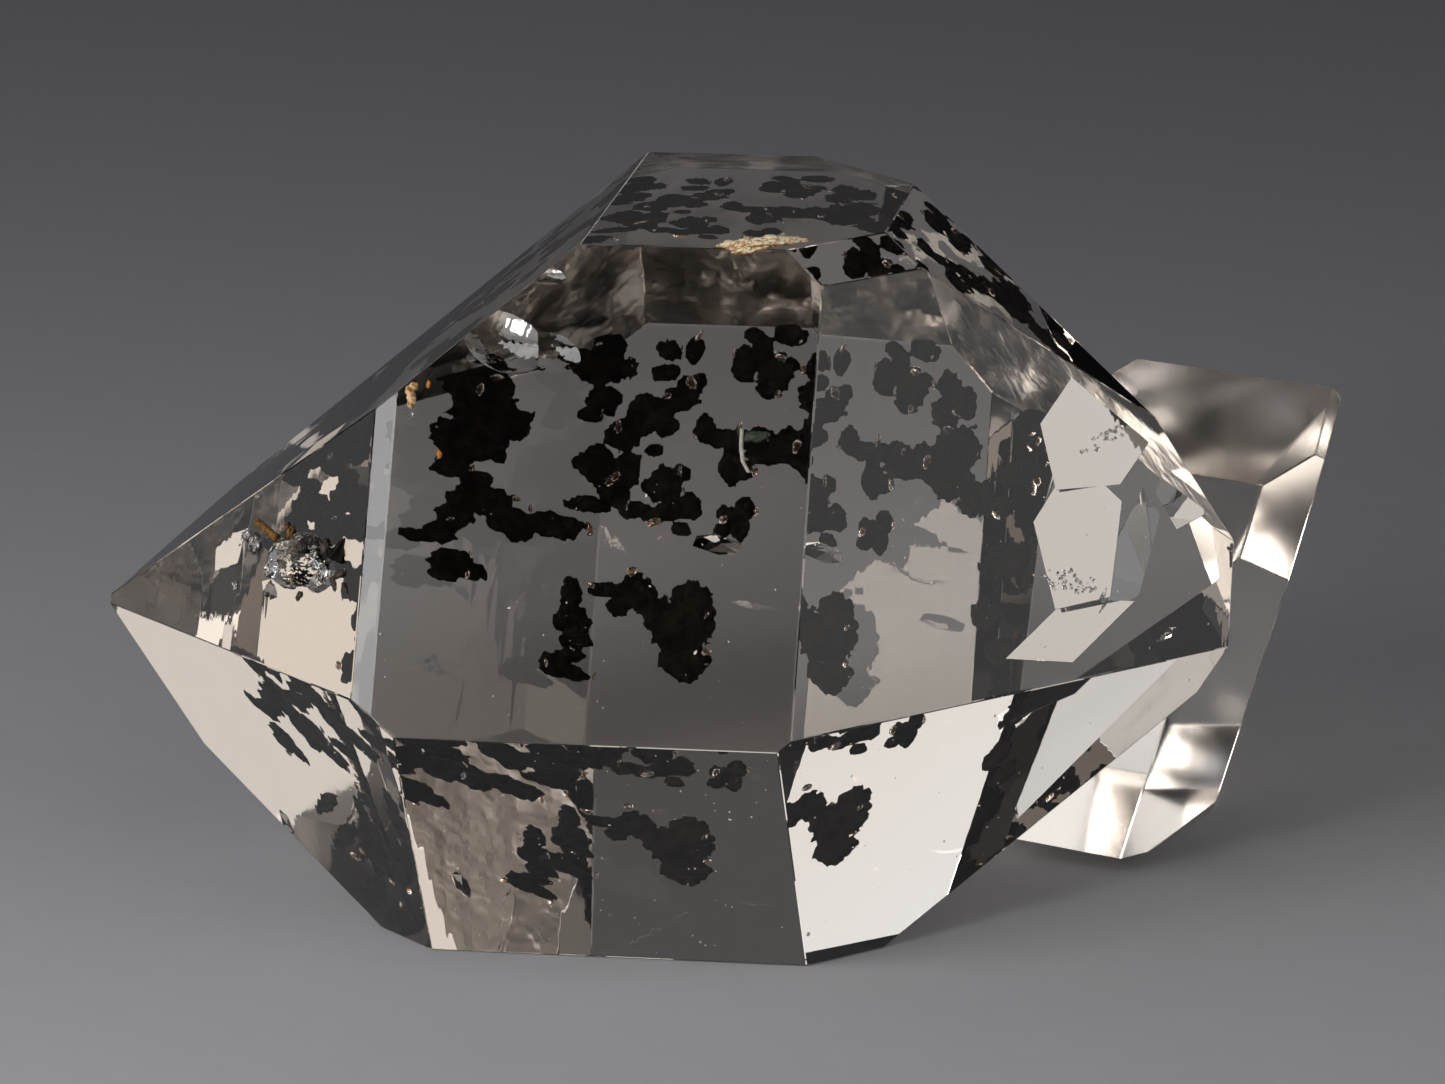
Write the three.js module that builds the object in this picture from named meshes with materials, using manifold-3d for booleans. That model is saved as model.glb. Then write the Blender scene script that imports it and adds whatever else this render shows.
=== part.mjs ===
// Herkimer diamond quartz: a water-clear, doubly terminated quartz crystal with a smaller crystal
// grown into its back right side, and a broken layer of black carbon just under its back faces.
// Millimetres. +X along the long axis of the main crystal, +Y away from the front, +Z up.
// The crystal lies on its lowest prism face, and the origin is on that level, below its middle.

import * as THREE from 'three';
import { mergeVertices } from 'three/addons/utils/BufferGeometryUtils.js';
import Module from 'manifold-3d';

const wasm = await Module();
wasm.setup();

// Polar angles of quartz face normals, measured from the long axis, in degrees.
const PRISM = 90;
const RHOMB = 51.79;
const BIPYRAMID = 65.55;
const STEEP_RHOMB = 75.3;
const OFF_RHOMB = 56.9;

const RIGHT = 1;
const LEFT = -1;

// Faces of the main crystal: end of the axis, azimuth about the axis in degrees (90 is up,
// 0 is the front), polar angle, and distance from the middle of the crystal in mm.
const MAIN_FACES = {
  prismTop: { end: RIGHT, azimuth: 90, polar: PRISM, distance: 8.46 },
  prismFrontHigh: { end: RIGHT, azimuth: 30, polar: PRISM, distance: 7.33 },
  prismFrontLow: { end: RIGHT, azimuth: -30, polar: PRISM, distance: 9.18 },
  prismBottom: { end: RIGHT, azimuth: -90, polar: PRISM, distance: 8.37 },
  prismBackLow: { end: RIGHT, azimuth: 210, polar: PRISM, distance: 7.46 },
  prismBackHigh: { end: RIGHT, azimuth: 150, polar: PRISM, distance: 9.03 },
  leftTop: { end: LEFT, azimuth: 90, polar: RHOMB, distance: 7.55 },
  leftFrontHigh: { end: LEFT, azimuth: 30, polar: RHOMB, distance: 9.38 },
  leftFrontLow: { end: LEFT, azimuth: -30, polar: RHOMB, distance: 10.29 },
  leftBottom: { end: LEFT, azimuth: -90, polar: RHOMB, distance: 10.58 },
  leftBackLow: { end: LEFT, azimuth: 210, polar: RHOMB, distance: 7.23 },
  leftBackHigh: { end: LEFT, azimuth: 150, polar: RHOMB, distance: 7.98 },
  rightTop: { end: RIGHT, azimuth: 90, polar: RHOMB, distance: 10.03 },
  rightFrontHigh: { end: RIGHT, azimuth: 30, polar: RHOMB, distance: 8.44 },
  rightFrontLow: { end: RIGHT, azimuth: -30, polar: RHOMB, distance: 9.71 },
  rightBottom: { end: RIGHT, azimuth: -90, polar: RHOMB, distance: 10.08 },
  rightBackLow: { end: RIGHT, azimuth: 210, polar: RHOMB, distance: 8.27 },
  rightBackHigh: { end: RIGHT, azimuth: 150, polar: RHOMB, distance: 8.77 },
  cornerFacet: { end: RIGHT, azimuth: 60, polar: BIPYRAMID, distance: 9.71 },
  steepStrip: { end: LEFT, azimuth: 30, polar: STEEP_RHOMB, distance: 8.49 },
  narrowWedge: { end: LEFT, azimuth: -29.2, polar: OFF_RHOMB, distance: 10.41 },
};

// The smaller crystal: its middle from the main one's middle, the turn of its own axis, and
// the distances of its six prism faces and of the six faces at each end, every 60 degrees.
const SMALL_MIDDLE = new THREE.Vector3(10.6, 4.77, -2.17);
const SMALL_TURN = [59.5, 10.2, 76.8];
const SMALL_PRISM = [4.46, 3.75, 5.84, 3.38, 4.01, 3.31];
const SMALL_UPPER_END = [4.8, 4.25, 6.69, 6.01, 2.81, 4.28];
const SMALL_LOWER_END = [5.45, 3.2, 4.44, 5.44, 4.74, 5.48];

// The carbon lies on an earlier surface of the crystal, this deep under its back faces.
// The clear quartz is parted along that surface.
const LAYER_DEPTH = 0.85;
const PARTING_GAP = 0.3;
const CARBON_THICKNESS = 0.3;
const CARBON_CLEARANCE = 0.3;
const LOBE_CORNERS = 9;
const RAGGED_COARSE = 0.12;
const RAGGED_FINE = 0.1;

// Carbon patches. Each lobe: x along the axis, height up the layer, half width, half height,
// in mm from the middle of the crystal, and a number that sets its ragged edge.
const CARBON_PATCHES = {
  heart: [
    [-0.06, -2.02, 0.69, 0.74, 1],
    [0.38, -1.26, 0.49, 0.74, 2],
    [-0.59, -1.42, 0.49, 0.5, 3],
    [-1.25, -0.82, 0.69, 0.35, 4],
    [-1.89, -0.77, 0.34, 0.24, 5],
  ],
  hook: [
    [-2.67, -1.46, 0.35, 0.84, 6],
    [-2.92, -2.61, 0.69, 0.36, 7],
  ],
  wedge: [
    [-5.28, -0.56, 0.57, 0.36, 8],
    [-4.65, -0.84, 0.45, 0.22, 9],
  ],
  left_band: [
    [-5.6, 0.12, 0.55, 0.3, 10],
    [-5.1, 0.8, 0.65, 0.62, 11],
    [-4.38, 1.02, 0.46, 0.34, 12],
    [-4.07, 0.49, 0.45, 0.32, 13],
    [-3.1, 0.59, 0.85, 0.34, 14],
    [-2.45, 1.05, 0.56, 0.24, 15],
  ],
  upper_left: [
    [-5.5, 3.15, 0.46, 0.42, 16],
    [-4.85, 3.1, 0.75, 0.55, 17],
    [-5.16, 2.51, 0.8, 0.69, 18],
  ],
  top_left: [
    [-2.4, 4.45, 0.6, 0.42, 19],
    [-2.29, 3.72, 0.44, 0.65, 20],
    [-1.15, 3.5, 0.9, 0.36, 21],
    [-0.35, 4.0, 0.6, 0.36, 22],
  ],
  middle: [
    [-1.88, 2.7, 0.55, 0.38, 24],
    [-1.99, 1.96, 0.59, 0.55, 25],
    [-1.45, 1.32, 0.38, 0.34, 26],
    [-0.75, 1.05, 0.5, 0.28, 27],
    [-0.1, 1.5, 0.46, 0.5, 28],
    [-0.6, 2.07, 0.54, 0.5, 29],
  ],
  fleck: [
    [1.45, 1.34, 0.34, 0.37, 30],
    [1.15, 0.98, 0.26, 0.26, 31],
  ],
  right_band: [
    [0.36, 3.1, 0.36, 0.4, 32],
    [0.95, 2.55, 0.46, 0.55, 33],
    [1.8, 2.98, 0.64, 0.42, 34],
    [2.7, 3.1, 0.5, 0.5, 35],
    [3.3, 3.05, 0.72, 0.7, 36],
    [3.06, 2.35, 0.65, 0.42, 37],
    [3.7, 2.2, 0.4, 0.32, 38],
  ],
  upper_right: [
    [1.18, 4.85, 0.44, 0.4, 39],
    [1.9, 4.55, 0.46, 0.42, 40],
    [2.4, 4.85, 0.36, 0.22, 41],
  ],
  upper_middle: [
    [-0.62, 4.85, 0.44, 0.26, 42],
    [-0.2, 5.1, 0.35, 0.26, 43],
  ],
  far_right: [
    [3.6, 4.55, 0.34, 0.55, 44],
  ],
};

// A shallow hollow etched in the upper left face, and the crust of pale matrix on the top edge.
const HOLLOW = { place: new THREE.Vector3(-7.88, -5.9, 1.23), half: [1.35, 0.75, 0.3] };
const CRUST_LUMPS = [
  { place: [1.98, -3.38, 8.56], half: [0.5, 0.22, 0.14] },
  { place: [2.62, -3.34, 8.6], half: [0.55, 0.26, 0.2] },
  { place: [3.28, -3.3, 8.62], half: [0.5, 0.2, 0.13] },
];
const CRUST_GAP = 0.1;
const LUMP_DETAIL = 1;
const HOLLOW_DETAIL = 2;

// A block larger than the whole crystal, from which each crystal is cut face by face.
const BLOCK = 80;
const MERGE = 1e-5;

const quartz = new THREE.MeshStandardMaterial({
  color: '#d6d4ce', roughness: 0.04, metalness: 0, transparent: true, opacity: 0.4,
});
const carbon = new THREE.MeshStandardMaterial({ color: '#1c1713', roughness: 0.7, metalness: 0 });
const matrixRock = new THREE.MeshStandardMaterial({ color: '#c2a67c', roughness: 0.9, metalness: 0 });

const radians = THREE.MathUtils.degToRad;

function solidOf(geometry) {
  const bare = geometry.clone();
  bare.deleteAttribute('normal');
  bare.deleteAttribute('uv');
  const merged = mergeVertices(bare, MERGE);
  return new wasm.Manifold(new wasm.Mesh({
    numProp: 3,
    vertProperties: new Float32Array(merged.attributes.position.array),
    triVerts: new Uint32Array(merged.index.array),
  }));
}

function geometryOf(solid) {
  const mesh = solid.getMesh();
  const geometry = new THREE.BufferGeometry();
  geometry.setAttribute('position', new THREE.BufferAttribute(mesh.vertProperties, 3));
  geometry.setIndex(new THREE.BufferAttribute(mesh.triVerts, 1));
  geometry.computeVertexNormals();
  return geometry;
}

function faceNormal({ end, azimuth, polar }) {
  const along = end * Math.cos(radians(polar));
  const across = Math.sin(radians(polar));
  return new THREE.Vector3(
    along,
    -across * Math.cos(radians(azimuth)),
    across * Math.sin(radians(azimuth)),
  );
}

// Cuts a block by each face plane, moved outwards by extra, and keeps what lies inside them all.
function crystal(faces, extra = 0) {
  let solid = solidOf(new THREE.BoxGeometry(BLOCK, BLOCK, BLOCK));
  for (const face of faces) {
    const inward = faceNormal(face).negate();
    solid = solid.trimByPlane(inward.toArray(), -(face.distance + extra));
  }
  return solid;
}

function endFaces(end, polar, distances) {
  return distances.map((distance, index) => ({ end, azimuth: index * 60, polar, distance }));
}

// The smaller crystal's faces are numbered from its own back, so its azimuths run from there.
function smallCrystal() {
  const faces = [
    ...endFaces(RIGHT, PRISM, SMALL_PRISM),
    ...endFaces(RIGHT, RHOMB, SMALL_UPPER_END),
    ...endFaces(LEFT, RHOMB, SMALL_LOWER_END),
  ].map((face) => ({ ...face, azimuth: 180 - face.azimuth }));
  const turn = new THREE.Euler(...SMALL_TURN.map(radians), 'XYZ');
  const place = new THREE.Matrix4().makeRotationFromEuler(turn).setPosition(SMALL_MIDDLE);
  return crystal(faces).transform(place.elements);
}

// The carbon layer follows two back faces: the low back prism face and the left end face
// that meets it along a bend.
const layerPrism = { ...MAIN_FACES.prismBackLow };
layerPrism.distance -= LAYER_DEPTH;
const layerEnd = { ...MAIN_FACES.leftBackLow };
layerEnd.distance -= LAYER_DEPTH;
const prismNormal = faceNormal(layerPrism);
const endNormal = faceNormal(layerEnd);
const upLayer = new THREE.Vector3(1, 0, 0).cross(prismNormal);

// The point of the layer at x along the axis and a height up the layer, and its facing.
function layerPoint(x, height) {
  const alongUp = upLayer.clone().multiplyScalar(height);
  const onPrism = prismNormal.clone().multiplyScalar(layerPrism.distance);
  onPrism.add(alongUp);
  onPrism.x = x;
  if (onPrism.dot(endNormal) <= layerEnd.distance) {
    return { point: onPrism, normal: prismNormal };
  }
  const depth = (layerEnd.distance - x * endNormal.x) / Math.sin(radians(RHOMB));
  const onEnd = prismNormal.clone().multiplyScalar(depth).add(alongUp);
  onEnd.x = x;
  return { point: onEnd, normal: endNormal };
}

// A flat lobe with a ragged edge, lying in the layer, grown by extra on every side.
function lobe([x, height, halfWidth, halfHeight, ragged], extra) {
  const outline = [];
  for (let corner = 0; corner < LOBE_CORNERS; corner += 1) {
    const angle = (2 * Math.PI * corner) / LOBE_CORNERS;
    const wave = RAGGED_COARSE * Math.sin(3 * angle + ragged)
      + RAGGED_FINE * Math.sin(5 * angle + 2.3 * ragged);
    outline.push(new THREE.Vector2(
      (halfWidth * (1 + wave) + extra) * Math.cos(angle),
      (halfHeight * (1 + wave) + extra) * Math.sin(angle),
    ));
  }
  const thickness = CARBON_THICKNESS + 2 * extra;
  const geometry = new THREE.ExtrudeGeometry(new THREE.Shape(outline), {
    depth: thickness, bevelEnabled: false, steps: 1,
  });
  geometry.translate(0, 0, -thickness / 2);
  const { point, normal } = layerPoint(x, height);
  const side = new THREE.Vector3().crossVectors(upLayer, normal);
  const place = new THREE.Matrix4().makeBasis(side, upLayer, normal).setPosition(point);
  geometry.applyMatrix4(place);
  return solidOf(geometry);
}

function carbonPatch(lobes, extra = 0) {
  return lobes.map((values) => lobe(values, extra)).reduce((all, next) => all.add(next));
}

// A rounded lump with flat facets, stretched to its half sizes.
function lump({ half, place }) {
  const geometry = new THREE.IcosahedronGeometry(1, LUMP_DETAIL);
  geometry.scale(...half);
  geometry.translate(...place);
  return solidOf(geometry);
}

function etchedHollow() {
  const geometry = new THREE.IcosahedronGeometry(1, HOLLOW_DETAIL);
  geometry.scale(...HOLLOW.half);
  const facing = faceNormal(MAIN_FACES.leftFrontHigh);
  const level = new THREE.Vector3(0, 0, 1).cross(facing).normalize();
  const upward = new THREE.Vector3().crossVectors(facing, level);
  const place = new THREE.Matrix4().makeBasis(level, upward, facing).setPosition(HOLLOW.place);
  geometry.applyMatrix4(place);
  return solidOf(geometry);
}

const mainFaces = Object.values(MAIN_FACES);
const mainCrystal = crystal(mainFaces);
const pockets = Object.values(CARBON_PATCHES)
  .map((lobes) => carbonPatch(lobes, CARBON_CLEARANCE))
  .reduce((all, next) => all.add(next));

const inFrontOfLayer = crystal([layerPrism, layerEnd], -PARTING_GAP / 2);
const upToLayer = crystal([layerPrism, layerEnd], PARTING_GAP / 2);

const quartzFront = mainCrystal
  .intersect(inFrontOfLayer)
  .add(smallCrystal())
  .subtract(pockets)
  .subtract(etchedHollow());
const quartzBack = mainCrystal.subtract(upToLayer).subtract(pockets);

const crust = CRUST_LUMPS.map(lump)
  .reduce((all, next) => all.add(next))
  .subtract(crystal(mainFaces, CRUST_GAP));

function addPiece(group, name, solid, material) {
  const mesh = new THREE.Mesh(geometryOf(solid), material);
  mesh.name = name;
  group.add(mesh);
}

const group = new THREE.Group();
const specimen = new THREE.Group();
addPiece(specimen, 'quartz_front', quartzFront, quartz);
addPiece(specimen, 'quartz_back', quartzBack, quartz);
for (const [name, lobes] of Object.entries(CARBON_PATCHES)) {
  addPiece(specimen, `carbon_${name}`, carbonPatch(lobes), carbon);
}
addPiece(specimen, 'matrix_crust', crust, matrixRock);

const box = new THREE.Box3().setFromObject(specimen);
const middle = box.getCenter(new THREE.Vector3());
specimen.position.set(-middle.x, -middle.y, -box.min.z);
group.add(specimen);

export default group;
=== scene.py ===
"""Herkimer diamond quartz: a clear, doubly terminated quartz crystal with a smaller one grown into its
back, black carbon sealed under its back faces, and crumbs of its mother rock on the edges."""

import math
import random

import bmesh
import bpy
from mathutils import Euler, Matrix, Vector, noise
from mathutils.bvhtree import BVHTree


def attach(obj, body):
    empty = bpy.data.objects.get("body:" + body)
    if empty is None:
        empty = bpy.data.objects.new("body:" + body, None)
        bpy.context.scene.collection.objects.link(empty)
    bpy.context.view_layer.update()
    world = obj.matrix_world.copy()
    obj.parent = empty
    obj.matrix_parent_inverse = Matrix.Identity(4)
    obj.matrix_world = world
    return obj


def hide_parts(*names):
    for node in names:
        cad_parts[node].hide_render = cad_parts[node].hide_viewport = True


bl_info = {
    "name": "Herkimer diamond quartz",
    "version": (1, 0, 0),
    "blender": (4, 5, 0),
    "location": "3D View > Sidebar > Quartz",
    "description": "Builds a clear quartz crystal with carbon inclusions, and the studio round it",
    "category": "Object",
}

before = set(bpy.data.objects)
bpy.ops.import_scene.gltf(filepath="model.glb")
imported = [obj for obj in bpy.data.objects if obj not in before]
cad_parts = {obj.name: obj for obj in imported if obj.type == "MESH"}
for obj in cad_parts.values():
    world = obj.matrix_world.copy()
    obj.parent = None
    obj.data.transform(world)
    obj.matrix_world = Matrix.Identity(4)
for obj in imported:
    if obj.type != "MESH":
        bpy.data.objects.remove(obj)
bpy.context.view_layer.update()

# Everything is modelled in millimetres from the middle of the main crystal, and moved into the frame
# when a piece is finished. +X is the long axis, -Y the front, +Z up.
MM = 0.001
CRYSTAL_MIDDLE = Vector((-1.0766, 0.0058, 8.37))

# Width and depth of each pattern on a skin, in millimetres. The stretch of the striations and the
# shade of the paper's grain are ratios.
HILLOCK_WIDTH = 0.9
HILLOCK_DEPTH = 0.06
STRIATION_WIDTH = 0.25
STRIATION_DEPTH = 0.0012
STRIATION_STRETCH = 0.04
SOOT_GRAIN = 0.4
SOOT_DEPTH = 0.05
DOLOMITE_GRAIN = 0.12
DOLOMITE_RELIEF = 0.03
PAPER_GRAIN = 1.1
PAPER_SHADE = 0.94

QUARTZ_IOR = 1.544
PLANT_IOR = 1.53

# Polar angles of quartz face normals, from the long axis, in degrees.
PRISM = 90
RHOMB = 51.79
BIPYRAMID = 65.55
STEEP_RHOMB = 75.3
OFF_RHOMB = 56.9

# Faces of the main crystal: end of the axis, azimuth about it (90 is up, 0 the front), polar angle,
# and distance from the middle. They are cut from a block of the given size.
BLOCK_SIZE = 80
MAIN_FACES = {
    "prism_top": (1, 90, PRISM, 8.46),
    "prism_front_high": (1, 30, PRISM, 7.33),
    "prism_front_low": (1, -30, PRISM, 9.18),
    "prism_bottom": (1, -90, PRISM, 8.37),
    "prism_back_low": (1, 210, PRISM, 7.46),
    "prism_back_high": (1, 150, PRISM, 9.03),
    "left_top": (-1, 90, RHOMB, 7.55),
    "left_front_high": (-1, 30, RHOMB, 9.38),
    "left_front_low": (-1, -30, RHOMB, 10.29),
    "left_bottom": (-1, -90, RHOMB, 10.58),
    "left_back_low": (-1, 210, RHOMB, 7.23),
    "left_back_high": (-1, 150, RHOMB, 7.98),
    "right_top": (1, 90, RHOMB, 10.03),
    "right_front_high": (1, 30, RHOMB, 8.44),
    "right_front_low": (1, -30, RHOMB, 9.71),
    "right_bottom": (1, -90, RHOMB, 10.08),
    "right_back_low": (1, 210, RHOMB, 8.27),
    "right_back_high": (1, 150, RHOMB, 8.77),
    "corner_facet": (1, 60, BIPYRAMID, 9.71),
    "steep_strip": (-1, 30, STEEP_RHOMB, 8.49),
    "narrow_wedge": (-1, -29.2, OFF_RHOMB, 10.41),
}
HILLOCKY_FACES = ("prism_back_high", "left_back_high", "right_back_high")

# The smaller crystal: its middle, its turns in degrees, and the distances of its sides and ends.
SMALL_MIDDLE = Vector((10.6, 4.77, -2.17))
SMALL_TURN = (59.5, 10.2, 76.8)
SMALL_PRISM = (4.46, 3.75, 5.84, 3.38, 4.01, 3.31)
SMALL_UPPER_END = (4.8, 4.25, 6.69, 6.01, 2.81, 4.28)
SMALL_LOWER_END = (5.45, 3.2, 4.44, 5.44, 4.74, 5.48)

# Flat gaps where the two crystals grew against each other: middle, which way they face, turn in
# degrees, half sizes and corners.
FLAT_GAPS = {
    "upper": ((9.53, 2.06, 2.8), (-0.41, -0.73, 0.55), 42, (2.4, 1.9), 6),
    "left": ((9.15, 0.25, 0.37), (-0.45, -0.63, 0.63), -38, (2.4, 1.6), 5),
    "step": ((10.66, 0.11, 0.14), (0.83, -0.54, -0.15), 69, (1.75, 0.77), 5),
    "low": ((9.21, -1.29, -1.44), (-0.43, -0.71, 0.56), 33, (2.3, 0.85), 4),
    "rim": ((11.85, 1.06, 1.43), (-0.45, -0.66, 0.6), -25, (1.2, 0.8), 5),
}
GAP_THICKNESS = 0.02
# They are cut off this far under the skin of the crystals.
GAP_INSET = 0.15

# Veils there: place, turns in degrees, half sizes and how many pockets.
VEILS = [
    ((9.3, -1.3, -0.2), (70, 10, 20), (0.75, 0.28), 60),
    ((10.1, 0.3, 2.9), (60, -20, 30), (0.7, 0.16), 36),
]

# Small pockets of fluid lie just outside the lobes of the carbon: how far out, in half sizes of a
# lobe, how far in front of the layer, and their sizes.
BESIDE_PATCH = 1.05
POCKET_DEPTHS = (0.1, 0.35)
POCKET_SIZES = (0.05, 0.15)

# The lens-shaped pocket of fluid: place, half sizes and turns in degrees.
LENS_POCKET = ((1.22, 2.2, -1.36), (0.72, 0.13, 0.33), (20, 0, -12))

# The carbon lies on an earlier surface, this deep under the low back prism face and the left end
# face that meets it.
LAYER_DEPTH = 0.85
# No film comes nearer to a face than this.
FILM_CLEARANCE = 0.25
UP_LAYER = Vector((0, 0.5, math.sqrt(0.75)))

# Lobes of each carbon patch: x along the axis, height up the layer, half width, half height.
CARBON_PATCHES = {
    "heart": [(-1.87, -0.72, 0.44, 0.2), (-1.48, -1.08, 0.29, 0.3), (-1.13, -0.69, 0.44, 0.4),
              (-0.87, -0.93, 0.34, 0.35), (-0.47, -1.41, 0.34, 0.54), (0.23, -0.89, 0.44, 0.45),
              (0.04, -1.64, 0.69, 0.69), (0.51, -1.38, 0.34, 0.74), (0.22, -2.38, 0.54, 0.44),
              (0.36, -2.75, 0.24, 0.2)],
    "hook": [(-2.61, -0.95, 0.23, 0.44), (-2.57, -1.57, 0.4, 0.39), (-2.47, -2.05, 0.35, 0.25),
             (-2.55, -2.43, 0.4, 0.15), (-2.88, -2.61, 0.34, 0.2), (-2.75, -2.83, 0.4, 0.2),
             (-2.41, -2.91, 0.29, 0.15)],
    "wedge": [(-5.4, -0.51, 0.46, 0.25), (-4.98, -0.69, 0.51, 0.22), (-5.48, -0.89, 0.34, 0.15)],
    "left_band": [(-4.92, 1.6, 0.34, 0.25), (-5.06, 1.03, 0.57, 0.34), (-4.56, 1.11, 0.46, 0.3),
                  (-5.36, 0.61, 0.46, 0.34), (-5.67, 0.19, 0.4, 0.29), (-6.11, 0.0, 0.4, 0.17),
                  (-4.13, 0.68, 0.52, 0.34), (-3.89, 0.47, 0.34, 0.3), (-3.22, 0.69, 0.75, 0.3),
                  (-2.36, 1.33, 0.61, 0.2)],
    "upper_left": [(-5.45, 4.01, 0.63, 0.4), (-4.81, 3.94, 0.52, 0.5), (-4.76, 3.2, 0.86, 0.54),
                   (-5.16, 2.51, 0.86, 0.54), (-5.46, 1.91, 0.46, 0.39), (-4.34, 3.02, 0.46, 0.35)],
    "top_left": [(-2.37, 4.84, 0.75, 0.45), (-2.13, 5.38, 0.37, 0.3), (-2.2, 3.99, 0.43, 0.35),
                 (-2.51, 3.56, 0.29, 0.2), (-1.09, 3.81, 0.59, 0.4), (-0.49, 4.08, 0.49, 0.3),
                 (-1.31, 3.42, 0.49, 0.3), (-0.15, 4.47, 0.3, 0.25), (0.09, 4.6, 0.2, 0.2),
                 (-0.7, 3.44, 0.35, 0.25), (-1.7, 3.1, 0.4, 0.38)],
    "middle": [(-2.2, 2.36, 0.52, 0.45), (-1.6, 2.29, 0.39, 0.45), (-1.8, 1.65, 0.35, 0.4),
               (-1.4, 1.29, 0.34, 0.2), (-0.59, 1.94, 0.49, 0.45), (-0.24, 2.21, 0.25, 0.25),
               (0.06, 1.47, 0.29, 0.35), (-0.42, 1.33, 0.39, 0.25), (-0.78, 1.19, 0.34, 0.2),
               (-0.14, 0.84, 0.25, 0.2), (-1.16, 1.3, 0.3, 0.2), (-0.9, 2.81, 0.2, 0.15)],
    "fleck": [(1.42, 1.44, 0.29, 0.25), (1.06, 1.25, 0.29, 0.25), (0.89, 0.87, 0.25, 0.2),
              (1.33, 0.89, 0.25, 0.3)],
    "right_band": [(0.3, 3.35, 0.25, 0.35), (0.56, 3.11, 0.25, 0.2), (1.05, 3.13, 0.74, 0.25),
                   (0.98, 2.5, 0.29, 0.55), (1.35, 2.39, 0.25, 0.25), (1.94, 2.78, 0.59, 0.25),
                   (2.41, 3.17, 0.49, 0.35), (1.67, 3.15, 0.49, 0.3), (3.1, 3.3, 0.5, 0.5),
                   (3.54, 3.4, 0.6, 0.6), (3.2, 2.63, 0.7, 0.5), (4.1, 2.15, 0.7, 0.42),
                   (4.8, 1.85, 0.7, 0.28)],
    "upper_right": [(1.17, 5.01, 0.3, 0.45), (1.56, 5.4, 0.25, 0.4), (1.93, 4.79, 0.44, 0.45),
                    (2.15, 5.05, 0.44, 0.2), (1.83, 4.41, 0.3, 0.2), (1.36, 5.78, 0.25, 0.2),
                    (2.23, 5.8, 0.44, 0.25)],
    "upper_middle": [(-0.71, 5.33, 0.3, 0.3), (-0.79, 4.77, 0.35, 0.23), (-0.09, 5.35, 0.2, 0.35),
                     (-1.78, 4.79, 0.2, 0.18)],
    "far_right": [(3.0, 4.99, 0.36, 0.32), (2.95, 4.3, 0.42, 0.4), (3.5, 4.6, 0.3, 0.45)],
}
# Patches that only dust the layer near the right end, with no node of their own.
CARBON_DUSTINGS = {
    "end_upper": [(6.0, 3.96, 0.6, 0.28), (5.52, 2.64, 0.85, 0.32)],
    "end_lower": [(5.3, 0.5, 0.9, 0.45), (4.72, -0.79, 0.49, 0.42), (5.4, -1.71, 0.49, 0.36)],
}

FILM_CELL = 0.035
# Noises that tear the edge of a film: rate for each millimetre, layer of the noise, and weight.
FILM_NOISES = ((1.9, 3.1, 0.3), (5.3, 7.7, 0.27), (12, 1.3, 0.12))
FILM_SPREAD = 0.06

# The two faces that carry chips, dips and crumbs.
FRONT_FACE = "prism_front_high"
LEFT_FACE = "left_front_high"

# The etched hollow is three dips run together: place and half sizes.
HOLLOW_DETAIL = 5
HOLLOWS = [
    ((-7.88, -5.9, 1.23), (1.2, 0.66, 0.27)),
    ((-8.5, -5.5, 1.38), (0.62, 0.52, 0.2)),
    ((-7.2, -6.45, 1.06), (0.55, 0.44, 0.17)),
]

# Chips on the top front edge: place, half width, half height and depth, and lean in degrees. A ball
# cuts each, whose middle stands out by CHIP_LIFT of its radius, and ripples run out from where it
# was struck.
CHIP_LIFT = 0.9
CHIP_RIPPLE = 0.0014
CHIP_RIPPLE_RATE = 55
CHIP_STRUCK = Vector((-0.9, 0.3, -0.6))
CHIPS = {
    "large": ((-2.62, -4.58, 6.74), (0.62, 0.5, 0.032), 13.5),
    "beside": ((-1.6, -4.78, 6.42), (0.6, 0.42, 0.035), 8),
    "small": ((-3.37, -4.95, 6.09), (0.3, 0.14, 0.03), 12),
    "edge": ((-2.0, -3.95, 7.84), (0.5, 0.2, 0.04), 8),
}

# Crumbs: which face they lie on, place and half sizes.
TAN_CRUMBS = [
    (FRONT_FACE, (-5.12, -5.36, 5.38), (0.11, 0.1, 0.07)),
    (FRONT_FACE, (-5.21, -5.42, 5.27), (0.1, 0.13, 0.08)),
    (FRONT_FACE, (-5.14, -5.49, 5.16), (0.1, 0.14, 0.07)),
    (FRONT_FACE, (-5.16, -5.58, 5.0), (0.07, 0.1, 0.05)),
]
ORANGE_FLECKS = [
    (FRONT_FACE, (-4.77, -5.32, 5.44), (0.05, 0.1, 0.035)),
    (FRONT_FACE, (-4.38, -6.16, 3.99), (0.06, 0.1, 0.035)),
]
RUSTY_CRUMBS = [
    (LEFT_FACE, (-8.16, -5.37, 1.72), (0.1, 0.17, 0.08)),
    (LEFT_FACE, (-8.28, -5.2, 1.84), (0.06, 0.08, 0.05)),
]
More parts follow.
